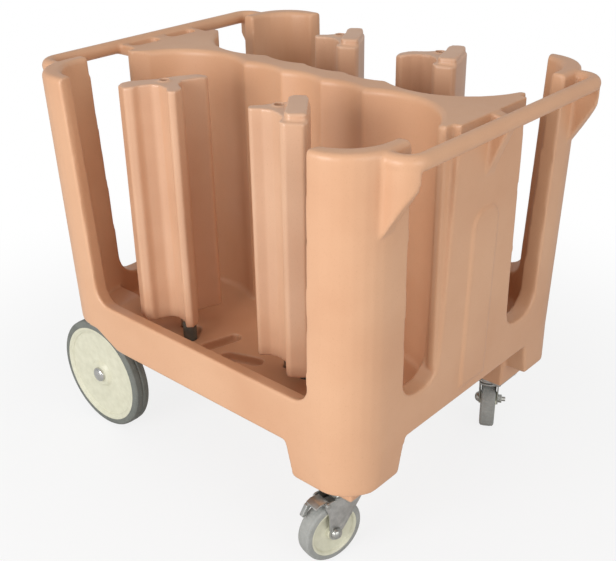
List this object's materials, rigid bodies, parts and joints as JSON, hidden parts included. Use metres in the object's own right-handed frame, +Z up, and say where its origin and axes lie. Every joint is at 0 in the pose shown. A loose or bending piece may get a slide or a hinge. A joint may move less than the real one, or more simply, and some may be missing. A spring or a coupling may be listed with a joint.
{
  "type": "plate dispenser cart",
  "caption": "Open moulded cart that holds stacks of plates between sliding divider towers, with a push handle, large fixed rear wheels and braked swivel casters.",
  "frame": {"origin": "on the floor, below the middle of the whole cart", "axes": "+X towards the push handle, +Y across the cart to the far side, +Z up"},
  "size_m": [0.973, 0.72, 0.832],
  "materials": {
    "moulded_body": "tan moulded polyethylene, fine satin skin",
    "moulded_tower": "tan moulded polyethylene, fine satin skin",
    "foot_plastic": "dark grey plastic",
    "rear_tyre": "grey non-marking rubber",
    "caster_tyre": "light grey non-marking rubber",
    "hub_plastic": "cream moulded plastic",
    "bright_steel": "bright plated steel",
    "caster_steel": "zinc-plated pressed steel",
    "bracket_steel": "zinc-plated steel plate",
    "fastener_steel": "zinc-plated steel"
  },
  "bodies": {
    "cart": {"tray": "moulded_body", "near_rim": "moulded_body", "far_rim": "moulded_body", "near_rear_post": "moulded_body", "near_front_post": "moulded_body", "far_rear_post": "moulded_body", "far_front_post": "moulded_body", "spine": "moulded_body", "rear_bar": "moulded_body", "push_handle": "moulded_body", "rear_axle": "fastener_steel", "near_axle_bracket": "bracket_steel", "far_axle_bracket": "bracket_steel", "near_bracket_bolts": "fastener_steel", "far_bracket_bolts": "fastener_steel", "near_axle_spacer": "fastener_steel", "far_axle_spacer": "fastener_steel", "near_axle_cap": "bright_steel", "far_axle_cap": "bright_steel", "near_caster_plate": "caster_steel", "far_caster_plate": "caster_steel", "near_plate_bolts": "fastener_steel", "far_plate_bolts": "fastener_steel", "near_kingpin": "caster_steel", "far_kingpin": "caster_steel"},
    "near_rear_wheel": {"near_rear_hub": "hub_plastic", "near_rear_tyre": "rear_tyre"},
    "near_caster": {"near_fork": "caster_steel", "near_wheel_bolt": "bright_steel", "near_wheel_nut": "fastener_steel", "near_brake_pin": "fastener_steel"},
    "near_caster_wheel": {"near_caster_hub": "hub_plastic", "near_caster_tyre": "caster_tyre"},
    "near_brake": {"near_brake_pedal": "caster_steel"},
    "far_rear_wheel": {"far_rear_hub": "hub_plastic", "far_rear_tyre": "rear_tyre"},
    "far_caster": {"far_fork": "caster_steel", "far_wheel_bolt": "bright_steel", "far_wheel_nut": "fastener_steel", "far_brake_pin": "fastener_steel"},
    "far_caster_wheel": {"far_caster_hub": "hub_plastic", "far_caster_tyre": "caster_tyre"},
    "far_brake": {"far_brake_pedal": "caster_steel"},
    "near_rear_divider": {"near_rear_tower": "moulded_tower", "near_rear_foot": "foot_plastic", "near_rear_rod": "fastener_steel", "near_rear_clamp": "fastener_steel"},
    "near_front_divider": {"near_front_tower": "moulded_tower", "near_front_foot": "foot_plastic", "near_front_rod": "fastener_steel", "near_front_clamp": "fastener_steel"},
    "far_rear_divider": {"far_rear_tower": "moulded_tower", "far_rear_foot": "foot_plastic", "far_rear_rod": "fastener_steel", "far_rear_clamp": "fastener_steel"},
    "far_front_divider": {"far_front_tower": "moulded_tower", "far_front_foot": "foot_plastic", "far_front_rod": "fastener_steel", "far_front_clamp": "fastener_steel"}
  },
  "joints": [
    {"name": "near_rear_wheel_spin", "type": "hinge", "parent": "cart", "child": "near_rear_wheel", "pos_m": [-0.3595, -0.269, 0.127], "axis": [0, 1, 0], "continuous": true},
    {"name": "far_rear_wheel_spin", "type": "hinge", "parent": "cart", "child": "far_rear_wheel", "pos_m": [-0.3595, 0.269, 0.127], "axis": [0, 1, 0], "continuous": true},
    {"name": "near_caster_swivel", "type": "hinge", "parent": "cart", "child": "near_caster", "pos_m": [0.3195, -0.248, 0.14], "axis": [0, 0, 1], "continuous": true},
    {"name": "near_caster_spin", "type": "hinge", "parent": "near_caster", "child": "near_caster_wheel", "pos_m": [0.31163, -0.2821, 0.0635], "axis": [0.9744, -0.225, 0], "continuous": true},
    {"name": "near_brake_swing", "type": "hinge", "parent": "near_caster", "child": "near_brake", "pos_m": [0.30806, -0.29757, 0.13332], "axis": [0.9744, -0.225, 0], "range_deg": [0, 7]},
    {"name": "far_caster_swivel", "type": "hinge", "parent": "cart", "child": "far_caster", "pos_m": [0.3195, 0.248, 0.14], "axis": [0, 0, 1], "continuous": true},
    {"name": "far_caster_spin", "type": "hinge", "parent": "far_caster", "child": "far_caster_wheel", "pos_m": [0.30253, 0.27861, 0.0635], "axis": [-0.8746, -0.4848, 0], "continuous": true},
    {"name": "far_brake_swing", "type": "hinge", "parent": "far_caster", "child": "far_brake", "pos_m": [0.29484, 0.2925, 0.13332], "axis": [-0.8746, -0.4848, 0], "range_deg": [0, 7]},
    {"name": "near_rear_tower_slide", "type": "slide", "parent": "cart", "child": "near_rear_divider", "axis": [-0.5736, 0.8192, 0], "range_m": [0, 0.034]},
    {"name": "near_front_tower_slide", "type": "slide", "parent": "cart", "child": "near_front_divider", "axis": [0.9063, 0.4226, 0], "range_m": [0, 0.034]},
    {"name": "far_rear_tower_slide", "type": "slide", "parent": "cart", "child": "far_rear_divider", "axis": [0.766, -0.6428, 0], "range_m": [0, 0.034]},
    {"name": "far_front_tower_slide", "type": "slide", "parent": "cart", "child": "far_front_divider", "axis": [0.6428, -0.766, 0], "range_m": [0, 0.034]}
  ]
}
